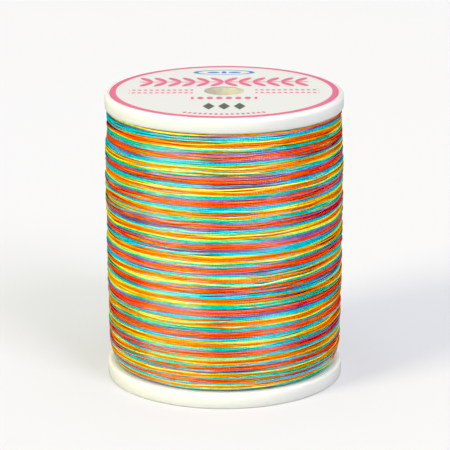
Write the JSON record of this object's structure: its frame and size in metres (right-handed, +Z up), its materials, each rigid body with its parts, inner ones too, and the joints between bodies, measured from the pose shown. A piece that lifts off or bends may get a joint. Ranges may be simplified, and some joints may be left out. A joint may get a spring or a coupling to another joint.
{
  "type": "spool of embroidery thread",
  "caption": "Flanged plastic spool wound to its rim with variegated embroidery thread, with a round paper label on top and a bore that slides on a spool pin.",
  "frame": {"origin": "middle of the base, on the axis of the bore", "axes": "+Z up along the bore, from the base to the labelled end"},
  "size_m": [0.046, 0.046, 0.0566],
  "materials": {
    "spool_plastic": "white moulded plastic, smooth and slightly translucent, with a soft gloss",
    "dyed_thread": "mercerised twisted thread, dyed along its length in orange, yellow, teal, blue, violet and pink",
    "label_paper": "smooth printed paper with a pink border and ornament"
  },
  "bodies": {
    "root": {"spool": "spool_plastic", "thread_winding": "dyed_thread", "label": "label_paper"}
  },
  "joints": []
}
